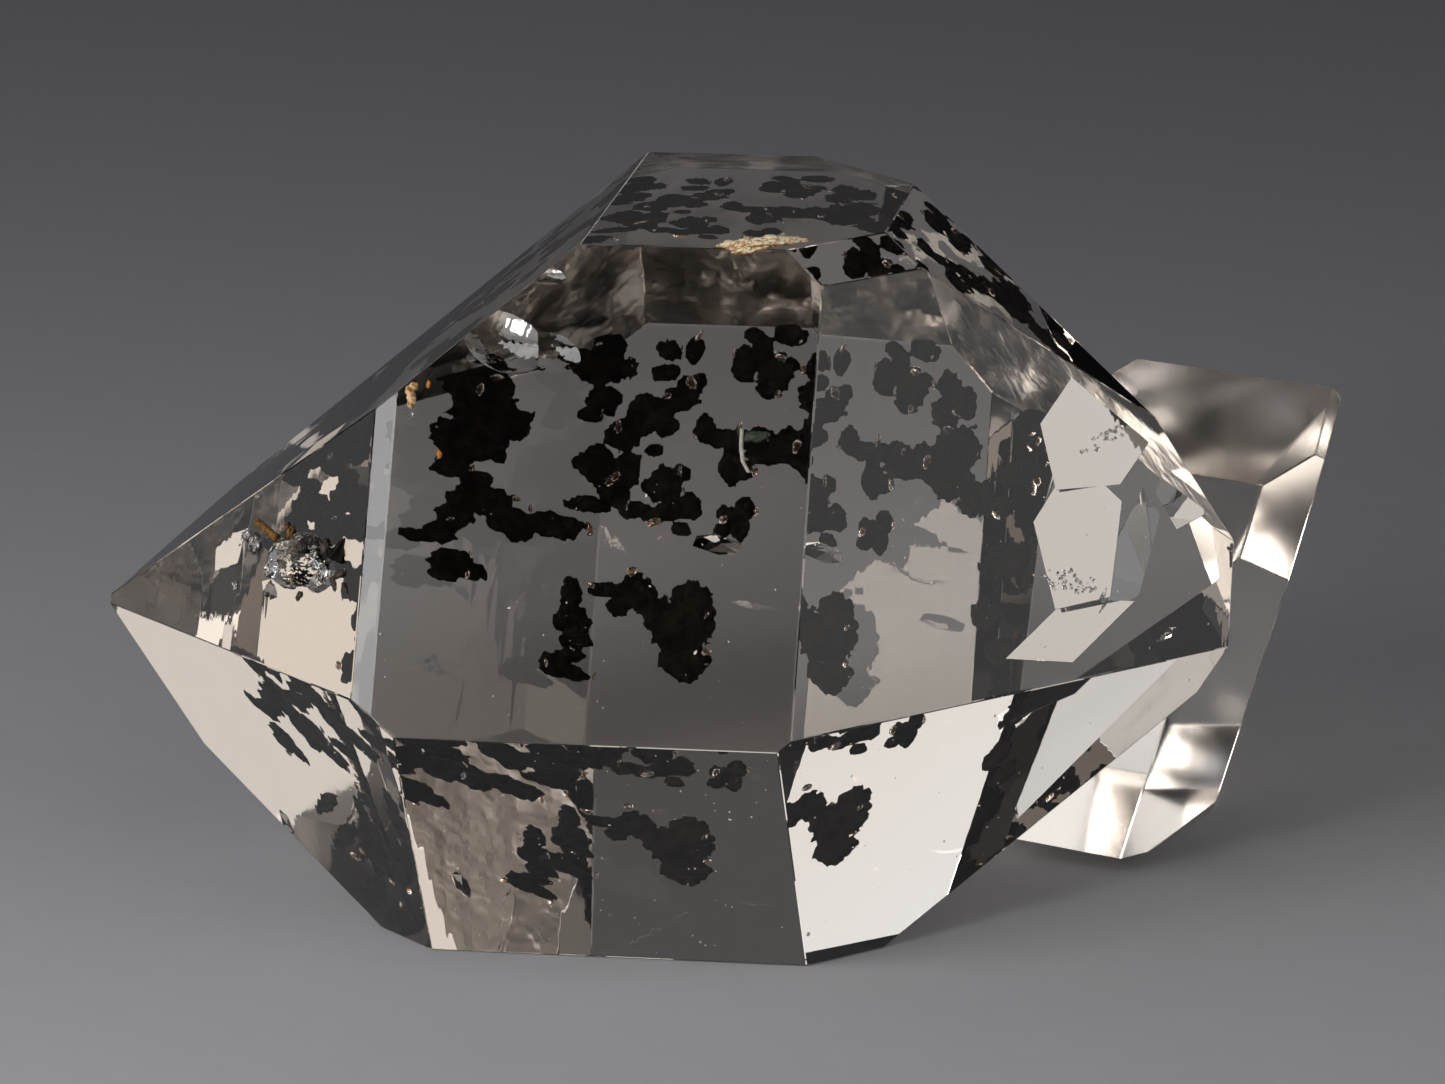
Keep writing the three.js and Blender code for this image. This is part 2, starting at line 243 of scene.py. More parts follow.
BROWN_CRUMBS = [
    (LEFT_FACE, (-7.77, -5.84, 1.51), (0.14, 0.13, 0.1)),
    (LEFT_FACE, (-7.55, -5.91, 1.73), (0.05, 0.08, 0.05)),
    (LEFT_FACE, (-7.1, -6.35, 1.69), (0.11, 0.18, 0.1)),
    (LEFT_FACE, (-6.95, -6.55, 1.45), (0.12, 0.1, 0.08)),
    (LEFT_FACE, (-6.63, -7.03, 1.25), (0.2, 0.08, 0.07)),
    (LEFT_FACE, (-6.78, -7.01, 1.04), (0.08, 0.2, 0.06)),
    (LEFT_FACE, (-6.45, -7.32, 1.03), (0.05, 0.16, 0.05)),
    (LEFT_FACE, (-7.74, -6.45, 0.52), (0.12, 0.09, 0.06)),
    (LEFT_FACE, (-8.68, -5.73, 0.29), (0.06, 0.06, 0.04)),
]
CLEAR_CRUMBS = [
    (LEFT_FACE, (-8.62, -5.46, 0.83), (0.22, 0.2, 0.12)),
    (LEFT_FACE, (-7.35, -6.38, 1.25), (0.16, 0.12, 0.1)),
    (LEFT_FACE, (-7.15, -6.5, 1.1), (0.12, 0.2, 0.09)),
    (LEFT_FACE, (-7.45, -6.1, 1.45), (0.1, 0.1, 0.08)),
    (LEFT_FACE, (-9.19, -4.72, 1.22), (0.18, 0.24, 0.08)),
    (LEFT_FACE, (-9.45, -4.45, 1.36), (0.14, 0.12, 0.06)),
    (LEFT_FACE, (-9.68, -4.86, 0.21), (0.08, 0.12, 0.04)),
    (FRONT_FACE, (-5.14, -5.7, 4.79), (0.07, 0.09, 0.05)),
]
BLACK_GRAIN = (LEFT_FACE, (-6.71, -6.71, 1.66))
GREEN_FLAKE = (FRONT_FACE, (2.98, -5.83, 4.58))
GREEN_FLAKE_HALF = (0.34, 0.13, 0.03)

# Rods: the points they run through, and radius.
RUSTY_ROD = ((-9.19, -4.45, 1.69), (-8.56, -5.13, 1.51))
RUSTY_ROD_RADIUS = 0.105
FIBRE_PATH = ((2.69, -5.78, 4.74), (2.7, -5.98, 4.36), (2.76, -6.14, 4.06), (2.92, -6.28, 3.84))
FIBRE_RADIUS = 0.05

# Crumbs of pale mother rock stuck on the top front edge: place and half sizes.
CRUST_LUMPS = [
    ((2.14, -3.5, 8.5), (0.3, 0.2, 0.11)), ((2.45, -3.54, 8.5), (0.34, 0.24, 0.17)),
    ((2.78, -3.46, 8.56), (0.36, 0.25, 0.14)), ((3.14, -3.38, 8.62), (0.34, 0.24, 0.11)),
    ((3.46, -3.34, 8.63), (0.3, 0.18, 0.07)), ((3.72, -3.34, 8.64), (0.18, 0.1, 0.04)),
]
# The crust stops this far from the quartz.
CRUST_GAP = 0.006

# Specks of dust come to the crystal in one direction, from places in this range, and none lie past
# the front and bottom limits.
DUST_COUNT = 420
DUST_SIZE = 0.012
DUST_FROM_X = (-11, 9)
DUST_FROM_Y = -30
DUST_FROM_Z = (-8, 8.5)
DUST_FALL = Vector((0.17, 0.95, -0.2))
DUST_FRONT = -9.4
DUST_BOTTOM = -8.3

# Camera: place, aim and roll in degrees, and the floor's radius and drop in metres.
CAMERA_PLACE = Vector((30.356, -168.906, 51.585))
CAMERA_AIM = Vector((1.155, 0.248, 0.159))
CAMERA_ROLL = -0.864
SENSOR_WIDTH = 36
FLOOR_RADIUS = 3
FLOOR_DROP = 0.00003
ROOM_COLOUR = "#19191b"

# Soft lights round the crystal: azimuth (0 is behind, 90 the right), height in degrees, distance and
# size in millimetres, and radiance. Each faces the crystal.
SOFTBOXES = {
    "front_left_softbox": (-150, 14.5, 150, (75, 44), 1.4, "#fff4ea"),
    "front_left_bulb": (-152, 17, 149, (23, 18), 30, "#ffffff"),
    "front_left_wide": (-140, 13.5, 150, (110, 74), 2.7, "#ffffff"),
    "left_softbox": (-95, 13, 150, (100, 50), 0.6, "#ffffff"),
    "left_high_softbox": (-98, 45, 170, (60, 45), 1.35, "#e8f0ff"),
    "left_back_softbox": (-39.5, 20.5, 320, (116, 88), 0.95, "#ffffff"),
    "right_softbox": (101, 19, 150, (98, 90), 0.8, "#ffffff"),
    "low_back_softbox": (-7.5, 8.6, 450, (130, 58), 0.65, "#ffffff"),
    "back_screen": (2, 24, 150, (120, 45), 0.06, "#ffffff"),
}
# Lights hung over the floor: place and what they face, size in millimetres, radiance, and spread in
# degrees.
OVERHEAD_LIGHTS = {
    "overhead_softbox": ((-60, -70, 60), (-60, -69.99, 0), (60, 50), 5.4, 180),
    "overhead_right": ((40, -60, 62), (40, -59.99, 0), (90, 70), 1.1, 180),
    "back_spot": ((36, 26, 30), (9.2, 7.4, -8.37), (2, 2), 11, 4.5),
}


def linear(hex_colour):
    """Turns an sRGB hex colour into the linear values that sockets take."""
    values = [int(hex_colour[place:place + 2], 16) / 255 for place in (1, 3, 5)]
    return [v / 12.92 if v <= 0.04045 else ((v + 0.055) / 1.055) ** 2.4 for v in values] + [1.0]


def add_node(tree, kind, settings=None, links=None):
    """Adds a node. Settings name its inputs or its own properties, and links join inputs to outputs."""
    node = tree.nodes.new(kind)
    for name, value in (settings or {}).items():
        if name in node.inputs:
            node.inputs[name].default_value = value
        else:
            setattr(node, name, value)
    for name, output in (links or {}).items():
        tree.links.new(output, node.inputs[name])
    return node


def new_material(name):
    material = bpy.data.materials.new(name)
    material.use_nodes = True
    material.node_tree.nodes.clear()
    return material, material.node_tree


def clear_quartz_material(settings):
    """Rock crystal, left as it grew."""
    # Growth gives faces as clear as glass, so the floor, the carbon and the lights are seen sharply
    # through them, bent by the index of quartz. Low growth hillocks on the upper back faces blur
    # what is seen there into soft brown clouds, faint lines run across the long axis, the smaller
    # crystal's skin is a little duller, and long ways through the stone come out a little warmer.
    material, tree = new_material("rock_crystal_natural_faces")
    place = add_node(tree, "ShaderNodeTexCoord")
    hillocky = add_node(tree, "ShaderNodeAttribute", {"attribute_name": "hillocky"})
    dull = add_node(tree, "ShaderNodeAttribute", {"attribute_name": "dull"})
    hillocks = add_node(tree, "ShaderNodeTexNoise", {
        "Scale": 1 / (HILLOCK_WIDTH * MM), "Detail": 2.0,
    }, {"Vector": place.outputs["Object"]})
    across = add_node(tree, "ShaderNodeMapping", {
        "Scale": (1.0, STRIATION_STRETCH, STRIATION_STRETCH),
    }, {"Vector": place.outputs["Object"]})
    lines = add_node(tree, "ShaderNodeTexNoise", {
        "Scale": 1 / (STRIATION_WIDTH * MM), "Detail": 1.0,
    }, {"Vector": across.outputs["Vector"]})
    striations = add_node(tree, "ShaderNodeBump", {"Distance": STRIATION_DEPTH * MM}, {
        "Height": lines.outputs["Fac"]})
    relief = add_node(tree, "ShaderNodeBump", {"Distance": HILLOCK_DEPTH * MM}, {
        "Height": hillocks.outputs["Fac"], "Strength": hillocky.outputs["Fac"],
        "Normal": striations.outputs["Normal"]})
    surface = add_node(tree, "ShaderNodeBsdfPrincipled", {
        "Base Color": (1, 1, 1, 1), "IOR": settings.ior, "Transmission Weight": 1.0,
    }, {"Roughness": dull.outputs["Fac"], "Normal": relief.outputs["Normal"]})
    inside = add_node(tree, "ShaderNodeVolumeAbsorption", {
        "Color": tuple(settings.tint), "Density": settings.tint_density,
    })
    add_node(tree, "ShaderNodeOutputMaterial", links={
        "Surface": surface.outputs["BSDF"], "Volume": inside.outputs["Volume"],
    })
    return material


def carbon_material(colour_of_high_places):
    """Anthraxolite, a coal-like carbon, settled as a sooty film."""
    # A matte black with hardly any shine, brownish where its lumps stand up.
    material, tree = new_material("carbon_sooty_film")
    place = add_node(tree, "ShaderNodeTexCoord")
    mottle = add_node(tree, "ShaderNodeTexNoise", {"Scale": 1 / (SOOT_GRAIN * MM), "Detail": 4.0}, {
        "Vector": place.outputs["Object"]})
    colour = add_node(tree, "ShaderNodeValToRGB", links={"Fac": mottle.outputs["Fac"]})
    colour.color_ramp.elements[0].position = 0.35
    colour.color_ramp.elements[0].color = linear("#0a0a09")
    colour.color_ramp.elements[1].position = 0.75
    colour.color_ramp.elements[1].color = colour_of_high_places
    bump = add_node(tree, "ShaderNodeBump", {"Strength": 0.6, "Distance": SOOT_DEPTH * MM}, {
        "Height": mottle.outputs["Fac"]})
    surface = add_node(tree, "ShaderNodeBsdfPrincipled", {
        "Roughness": 0.75, "Specular IOR Level": 0.05,
    }, {"Base Color": colour.outputs["Color"], "Normal": bump.outputs["Normal"]})
    add_node(tree, "ShaderNodeOutputMaterial", links={"Surface": surface.outputs["BSDF"]})
    return material


def crumb_material(name, low, high, grain, roughness, bump_depth, **extra):
    """A crumb mottled between two colours, with grains and relief of the given sizes in millimetres."""
    material, tree = new_material(name)
    place = add_node(tree, "ShaderNodeTexCoord")
    mottle = add_node(tree, "ShaderNodeTexNoise", {"Scale": 1 / (grain * MM), "Detail": 5.0}, {
        "Vector": place.outputs["Object"]})
    colour = add_node(tree, "ShaderNodeValToRGB", links={"Fac": mottle.outputs["Fac"]})
    colour.color_ramp.elements[0].position = 0.38
    colour.color_ramp.elements[0].color = low
    colour.color_ramp.elements[1].position = 0.62
    colour.color_ramp.elements[1].color = high
    bump = add_node(tree, "ShaderNodeBump", {"Strength": 0.8, "Distance": bump_depth * MM}, {
        "Height": mottle.outputs["Fac"]})
    surface = add_node(tree, "ShaderNodeBsdfPrincipled", {"Roughness": roughness, **extra}, {
        "Base Color": colour.outputs["Color"], "Normal": bump.outputs["Normal"]})
    add_node(tree, "ShaderNodeOutputMaterial", links={"Surface": surface.outputs["BSDF"]})
    return material


def dolomite_material(rusted, pale):
    """Dolomite broken from the wall of the cavity, crumbly and rusted."""
    # Sugary, with no shine: mottled cream and ochre, and darker ochre on the faces that turn downwards.
    material, tree = new_material("dolomite_crumbly_rusted")
    place = add_node(tree, "ShaderNodeTexCoord")
    facing = add_node(tree, "ShaderNodeSeparateXYZ", links={"Vector": place.outputs["Normal"]})
    # Faces that turn downwards are mixed towards the darker ochre.
    under = add_node(tree, "ShaderNodeMapRange", {
        "From Min": 0.45, "From Max": -0.35, "To Min": 0.0, "To Max": 0.9,
    }, {"Value": facing.outputs["Z"]})
    grains = add_node(tree, "ShaderNodeTexNoise", {"Scale": 1 / (DOLOMITE_GRAIN * MM), "Detail": 5.0}, {
        "Vector": place.outputs["Object"]})
    mottle = add_node(tree, "ShaderNodeValToRGB", links={"Fac": grains.outputs["Fac"]})
    mottle.color_ramp.elements[0].position = 0.3
    mottle.color_ramp.elements[0].color = rusted
    mottle.color_ramp.elements[1].position = 0.5
    mottle.color_ramp.elements[1].color = pale
    colour = add_node(tree, "ShaderNodeMixRGB", {"Color2": rusted}, {
        "Fac": under.outputs["Result"], "Color1": mottle.outputs["Color"]})
    bump = add_node(tree, "ShaderNodeBump", {"Strength": 0.8, "Distance": DOLOMITE_RELIEF * MM}, {
        "Height": grains.outputs["Fac"]})
    surface = add_node(tree, "ShaderNodeBsdfPrincipled", {"Roughness": 0.9}, {
        "Base Color": colour.outputs["Color"], "Normal": bump.outputs["Normal"]})
    add_node(tree, "ShaderNodeOutputMaterial", links={"Surface": surface.outputs["BSDF"]})
    return material


def paper_material(colour_of_paper):
    """Uncoated grey paper, rolled flat."""
    # A matte floor with hardly any sheen, whose fine grain is drawn coarser than real fibres, so
    # that it still shows.
    material, tree = new_material("pale_grey_paper_matte")
    place = add_node(tree, "ShaderNodeTexCoord")
    grain = add_node(tree, "ShaderNodeTexNoise", {"Scale": 1 / (PAPER_GRAIN * MM), "Detail": 3.0}, {
        "Vector": place.outputs["Object"]})
    colour = add_node(tree, "ShaderNodeValToRGB", links={"Fac": grain.outputs["Fac"]})
    colour.color_ramp.elements[0].color = [value * PAPER_SHADE for value in colour_of_paper[:3]] + [1.0]
    colour.color_ramp.elements[1].color = colour_of_paper
    surface = add_node(tree, "ShaderNodeBsdfPrincipled", {
        "Roughness": 0.8, "Specular IOR Level": 0.05,
    }, {"Base Color": colour.outputs["Color"]})
    add_node(tree, "ShaderNodeOutputMaterial", links={"Surface": surface.outputs["BSDF"]})
    return material


def finish_piece(name, mesh, material, replaced=()):
    """Moves a shape modelled in millimetres into the frame, as a piece that rides on the root."""
    bmesh.ops.translate(mesh, vec=CRYSTAL_MIDDLE, verts=mesh.verts)
    bmesh.ops.scale(mesh, vec=Vector((MM, MM, MM)), verts=mesh.verts)
    data = bpy.data.meshes.new(name)
    mesh.to_mesh(data)
    mesh.free()
    data.materials.append(material)
    piece = bpy.data.objects.new(name, data)
    bpy.context.scene.collection.objects.link(piece)
    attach(piece, "root")
    if replaced:
        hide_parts(*replaced)
    return piece


def face_normal(end, azimuth, polar):
    across = math.sin(math.radians(polar))
    azimuth = math.radians(azimuth)
    return Vector((
        end * math.cos(math.radians(polar)),
        -across * math.cos(azimuth),
        across * math.sin(azimuth),
    ))


def cut_crystal(faces):
    """Cuts a block by each face plane and closes the cut."""
    mesh = bmesh.new()
    bmesh.ops.create_cube(mesh, size=BLOCK_SIZE)
    for end, azimuth, polar, distance in faces:
        normal = face_normal(end, azimuth, polar)
        cut = bmesh.ops.bisect_plane(
            mesh, geom=mesh.verts[:] + mesh.edges[:] + mesh.faces[:], dist=1e-4,
            plane_co=normal * distance, plane_no=normal, clear_outer=True,
        )
        rim = [part for part in cut["geom_cut"] if isinstance(part, bmesh.types.BMEdge)]
        if rim:
            bmesh.ops.contextual_create(mesh, geom=rim)
    bmesh.ops.recalc_face_normals(mesh, faces=mesh.faces)
    return mesh


def main_crystal(inset=0):
    """The main crystal, with its faces moved in by some millimetres."""
    return cut_crystal([(end, azimuth, polar, distance - inset)
                        for end, azimuth, polar, distance in MAIN_FACES.values()])


def under_skin(point):
    """How far a point lies under the nearest face of the main crystal."""
    return min(distance - point.dot(face_normal(end, azimuth, polar))
               for end, azimuth, polar, distance in MAIN_FACES.values())


def small_crystal(inset=0):
    """The smaller crystal, with its faces moved in by some millimetres."""
    ends = ((1, PRISM, SMALL_PRISM), (1, RHOMB, SMALL_UPPER_END), (-1, RHOMB, SMALL_LOWER_END))
    mesh = cut_crystal([(end, 180 - 60 * side, polar, reach - inset)
                        for end, polar, reaches in ends for side, reach in enumerate(reaches)])
    turn = Matrix.Rotation(math.radians(SMALL_TURN[0]), 4, "X")
    turn = turn @ Matrix.Rotation(math.radians(SMALL_TURN[1]), 4, "Y")
    turn = turn @ Matrix.Rotation(math.radians(SMALL_TURN[2]), 4, "Z")
    bmesh.ops.transform(mesh, matrix=Matrix.Translation(SMALL_MIDDLE) @ turn, verts=mesh.verts)
    return mesh


def combined(first, second, operation):
    """Joins two closed shapes, or cuts the second from the first, and gives the new shape."""
    parts = []
    for mesh in (first, second):
        data = bpy.data.meshes.new("part")
        mesh.to_mesh(data)
        mesh.free()
        part = bpy.data.objects.new("part", data)
        bpy.context.scene.collection.objects.link(part)
        parts.append(part)
    modifier = parts[0].modifiers.new("Combine", "BOOLEAN")
    modifier.object = parts[1]
    modifier.operation = operation
    modifier.solver = "EXACT"
    result = bmesh.new()
    result.from_object(parts[0], bpy.context.evaluated_depsgraph_get())
    for part in parts:
        bpy.data.meshes.remove(part.data)
    return result


def joined(meshes):
    """Puts several shapes into one."""
    whole = bmesh.new()
    for mesh in meshes:
        data = bpy.data.meshes.new("part")
        mesh.to_mesh(data)
        mesh.free()
        whole.from_mesh(data)
        bpy.data.meshes.remove(data)
    return whole


def on_face(name, place, turn=0):
    """Axes at a place on a face: level, up the slope, and outwards, turned by some degrees."""
    facing = face_normal(*MAIN_FACES[name][:3])
    level = Vector((0, 0, 1)).cross(facing).normalized()
    axes = Matrix((level, facing.cross(level), facing)).transposed().to_4x4()
    return Matrix.Translation(place) @ axes @ Matrix.Rotation(math.radians(turn), 4, "Z")


def shaded(mesh, smooth):
    for face in mesh.faces:
        face.smooth = smooth
    return mesh


def lump(placing, half, detail=3, unevenness=0.3, seed=1.0, smooth=True):
    """A ball of the given half sizes, pushed in and out by noise."""
    mesh = bmesh.new()
    bmesh.ops.create_icosphere(mesh, subdivisions=detail, radius=1)
    shift = Vector((seed * 7.3, seed * 3.1, seed))
    for vert in mesh.verts:
        coarse = noise.noise(vert.co * 1.6 + shift)
        fine = noise.noise(vert.co * 4.7 + shift)
        finest = noise.noise(vert.co * 13 + shift)
        vert.co *= 1 + unevenness * (coarse + 0.5 * fine + 0.25 * finest)
    bmesh.ops.transform(mesh, matrix=placing @ Matrix.Diagonal((*half, 1)), verts=mesh.verts)
    return shaded(mesh, smooth)


def conchoidal_chip(placing, half, lean):
    """What a blow takes off: a shallow shell leaning down, with ripples out from where it struck."""
    width, height, depth = half
    mesh = bmesh.new()
    bmesh.ops.create_icosphere(mesh, subdivisions=6, radius=1)
    for vert in mesh.verts:
        vert.co *= 1 + CHIP_RIPPLE * math.sin((vert.co - CHIP_STRUCK).length * CHIP_RIPPLE_RATE)
        vert.co *= 1 + 0.05 * noise.noise(vert.co * 1.5)
    rim = math.sqrt(1 - CHIP_LIFT ** 2)
    reach = depth / (1 - CHIP_LIFT)
    shape = Matrix.Translation((0, 0, CHIP_LIFT * reach)) @ Matrix.Diagonal(
        (width / rim, height / rim, reach, 1))
    leaning = turned((0, 0, 0), (lean, -0.7 * lean, 0))
    bmesh.ops.transform(mesh, matrix=placing @ leaning @ shape, verts=mesh.verts)
    return shaded(mesh, True)


def pocket(placing, half, detail=2, unevenness=0.15, seed=1.0, smooth=False):
    """A closed pocket inside the quartz, whose skin faces into it."""
    mesh = lump(placing, half, detail, unevenness, seed, smooth)
    bmesh.ops.reverse_faces(mesh, faces=mesh.faces)
    return mesh


def turned(place, turns):
    """A place with turns about X, Y and Z in degrees."""
    return Matrix.Translation(place) @ Euler([math.radians(t) for t in turns]).to_matrix().to_4x4()


def healed_crack(placing, half, count, seed):
    """A veil: flat little pockets strewn over a gently bent sheet."""
    draw = random.Random(seed)
    pockets = []
    for number in range(count):
        angle, reach = draw.uniform(0, math.tau), math.sqrt(draw.random())
        x, y = reach * math.cos(angle) * half[0], reach * math.sin(angle) * half[1]
        bend = 0.12 * math.sin(2.1 * x) + 0.1 * math.cos(2.6 * y)
        size = draw.uniform(0.015, 0.055)
        lie = turned((x, y, bend), (draw.gauss(0, 14), draw.gauss(0, 14), draw.uniform(0, 360)))
        pockets.append(pocket(placing @ lie, (size * 1.5, size, size * 0.22), 1, 0.2, number))
    return joined(pockets)


def marked(mesh, hillocky_faces=(), dull=0.0, hillocky_dull=0.0):
    """Gives each face how hillocky and how dull its skin is."""
    relief = mesh.faces.layers.float.new("hillocky")
    skin = mesh.faces.layers.float.new("dull")
    normals = [face_normal(*MAIN_FACES[name][:3]) for name in hillocky_faces]
    for face in mesh.faces:
        face[relief] = float(any(face.normal.dot(normal) > 0.999 for normal in normals))
        face[skin] = max(dull, face[relief] * hillocky_dull)
    return mesh


def layer_place(x, height, depth):
    """The point of the carbon layer at x along the axis, a height up it and a depth through it."""
    name = "prism_back_low"
    point = face_normal(*MAIN_FACES[name][:3]) * (MAIN_FACES[name][3] - LAYER_DEPTH)
    point += UP_LAYER * height
    point.x = x
    for end in ("left_back_low", "right_back_low"):
        normal = face_normal(*MAIN_FACES[end][:3])
        reach = MAIN_FACES[end][3] - LAYER_DEPTH
        if point.dot(normal) > reach:
            across = (reach - x * normal.x) / math.sin(math.radians(RHOMB))
            point = face_normal(*MAIN_FACES[name][:3]) * across + UP_LAYER * height
            point.x = x
            return point + normal * depth
    return point + face_normal(*MAIN_FACES[name][:3]) * depth


def film_strength(x, height, lobes):
    """Above nought where a patch of carbon covers the layer, torn by noise at its edge."""
    strength = max(1 - math.hypot((x - cx) / w, (height - cy) / h) for cx, cy, w, h in lobes)
    strength += FILM_SPREAD
    for rate, layer, weight in FILM_NOISES:
        strength += weight * noise.noise(Vector((x * rate, height * rate, layer)))
    return strength


def carbon_film(lobes, thickness):
    """A ragged film lying in the layer, thick in the middle and thin at its edges."""
    low_x = min(x - 1.3 * w for x, y, w, h in lobes)
    high_x = max(x + 1.3 * w for x, y, w, h in lobes)
    low_y = min(y - 1.3 * h for x, y, w, h in lobes)
    high_y = max(y + 1.3 * h for x, y, w, h in lobes)
    across = (high_x - low_x) / 2
    upward = (high_y - low_y) / 2
    place = Matrix.Translation(((low_x + high_x) / 2, (low_y + high_y) / 2, 0))
    mesh = bmesh.new()
    bmesh.ops.create_grid(
        mesh, x_segments=round(2 * across / FILM_CELL), y_segments=round(2 * upward / FILM_CELL),
        size=1, matrix=place @ Matrix.Diagonal((across, upward, 1, 1)),
    )
    bare = []
    for face in mesh.faces:
        x, height = face.calc_center_median()[:2]
        covered = film_strength(x, height, lobes) >= 0
        if not covered or under_skin(layer_place(x, height, 0)) < FILM_CLEARANCE:
            bare.append(face)
    bmesh.ops.delete(mesh, geom=bare, context="FACES")
    rim = [v for v in mesh.verts if v.is_boundary]
    for turn in range(2):
        bmesh.ops.smooth_vert(mesh, verts=rim, factor=0.5, use_axis_x=True, use_axis_y=True)
    bmesh.ops.solidify(mesh, geom=mesh.faces, thickness=thickness)
    lows = [v.co.z for v in mesh.verts]
    middle = (min(lows) + max(lows)) / 2
    for vert in mesh.verts:
        x, height, side = vert.co
        strength = max(0.0, film_strength(x, height, lobes))
        swell = 0.25 + min(1.0, strength * 2.5)
        lumps = 1 + 0.6 * noise.noise(Vector((x * 7, height * 7, 5 if side > middle else 9)))
        depth = math.copysign(thickness / 2 * swell * lumps, side - middle)
        vert.co = layer_place(x, height, depth)
    bmesh.ops.recalc_face_normals(mesh, faces=mesh.faces)
    return shaded(mesh, True)


def fluid_pockets():
    """Pockets of fluid beside the carbon, which catch the light, and the lens-shaped one."""
    draw = random.Random(12)
    pockets = []
    for lobes in CARBON_PATCHES.values():
        for x, height, width, tall in lobes[::2]:
            angle = draw.uniform(0, math.tau)
            spot = layer_place(
                x + BESIDE_PATCH * width * math.cos(angle),
                height + BESIDE_PATCH * tall * math.sin(angle),
                -draw.uniform(*POCKET_DEPTHS),
            )
            size = draw.uniform(*POCKET_SIZES)
            lie = turned(spot, [draw.uniform(0, 360) for turn in range(3)])
            pockets.append(pocket(lie, (size * 1.4, size, size * 0.5), 2, 0.25, size * 50, True))
    pockets.append(pocket(turned(LENS_POCKET[0], LENS_POCKET[2]), LENS_POCKET[1], 1, 0.1, 4.0))
    return pockets


def clear_body(settings):
    """The two crystals in one, with their worn edges, hollow, chips and sealed pockets."""
    main = marked(main_crystal(), HILLOCKY_FACES, hillocky_dull=settings.hillock_dullness)
    small = marked(small_crystal(), dull=settings.small_crystal_dullness)
    mesh = combined(main, small, "UNION")
    bmesh.ops.dissolve_limit(mesh, angle_limit=math.radians(0.5), verts=mesh.verts, edges=mesh.edges)
    corners = [e for e in mesh.edges if e.calc_face_angle(0) > math.radians(5)]
    bmesh.ops.bevel(mesh, geom=corners, offset=settings.edge_wear / MM, segments=2, profile=0.5,
                    affect="EDGES", material=-1)
    for number, (place, half) in enumerate(HOLLOWS):
        hollow = lump(on_face(LEFT_FACE, place, 12), half, HOLLOW_DETAIL, 0.05, number + 3.0)
        mesh = combined(mesh, marked(hollow), "DIFFERENCE")
    for place, half, lean in CHIPS.values():
        chip = conchoidal_chip(on_face(FRONT_FACE, place), half, lean)
        mesh = combined(mesh, marked(chip), "DIFFERENCE")
    return joined([shaded(mesh, False), *fluid_pockets(), *junction_veils(), *flat_gaps()])


def junction_veils():
    return [healed_crack(turned(place, turns), half, count, seed)
            for seed, (place, turns, half, count) in enumerate(VEILS)]


def flat_gaps():
    """Thin flat gaps with straight sides, which mirror the lights to the eye."""
    gaps = []
    core = combined(main_crystal(GAP_INSET), small_crystal(GAP_INSET), "UNION")
    for place, facing, turn, half, corners in FLAT_GAPS.values():
        placing = Matrix.Translation(place)
        placing = placing @ Vector(facing).to_track_quat("Z", "Y").to_matrix().to_4x4()
        placing = placing @ Matrix.Rotation(math.radians(turn), 4, "Z")
        placing = placing @ Matrix.Diagonal((*half, 1, 1))
        mesh = bmesh.new()
        bmesh.ops.create_circle(mesh, cap_ends=True, segments=corners, radius=1, matrix=placing)
        bmesh.ops.solidify(mesh, geom=mesh.faces, thickness=GAP_THICKNESS)
        bmesh.ops.recalc_face_normals(mesh, faces=mesh.faces)
        mesh = combined(mesh, core.copy(), "INTERSECT")
        bmesh.ops.reverse_faces(mesh, faces=mesh.faces)
        gaps.append(mesh)
    core.free()
    return gaps


def rounded_rod(points, radius, sides=10):
    """A rod through the points, with closed ends."""
    mesh = bmesh.new()
    start, following = Vector(points[0]), Vector(points[1])
    heading = (following - start).to_track_quat("Z", "Y").to_matrix().to_4x4()
    bmesh.ops.create_circle(mesh, cap_ends=True, radius=radius, segments=sides,
                            matrix=Matrix.Translation(start) @ heading)
    end = mesh.faces[:]
    for before, after in zip(points, points[1:]):
        grown = bmesh.ops.extrude_face_region(mesh, geom=end)
        end = [part for part in grown["geom"] if isinstance(part, bmesh.types.BMFace)]
        verts = [part for part in grown["geom"] if isinstance(part, bmesh.types.BMVert)]
        bmesh.ops.translate(mesh, vec=Vector(after) - Vector(before), verts=verts)
    bmesh.ops.recalc_face_normals(mesh, faces=mesh.faces)
    ends = [e for e in mesh.edges if e.calc_face_angle(0) > math.radians(60)]
    bmesh.ops.bevel(mesh, geom=ends, offset=radius * 0.3, segments=2, profile=0.5, affect="EDGES",
                    material=-1)
    return shaded(mesh, True)


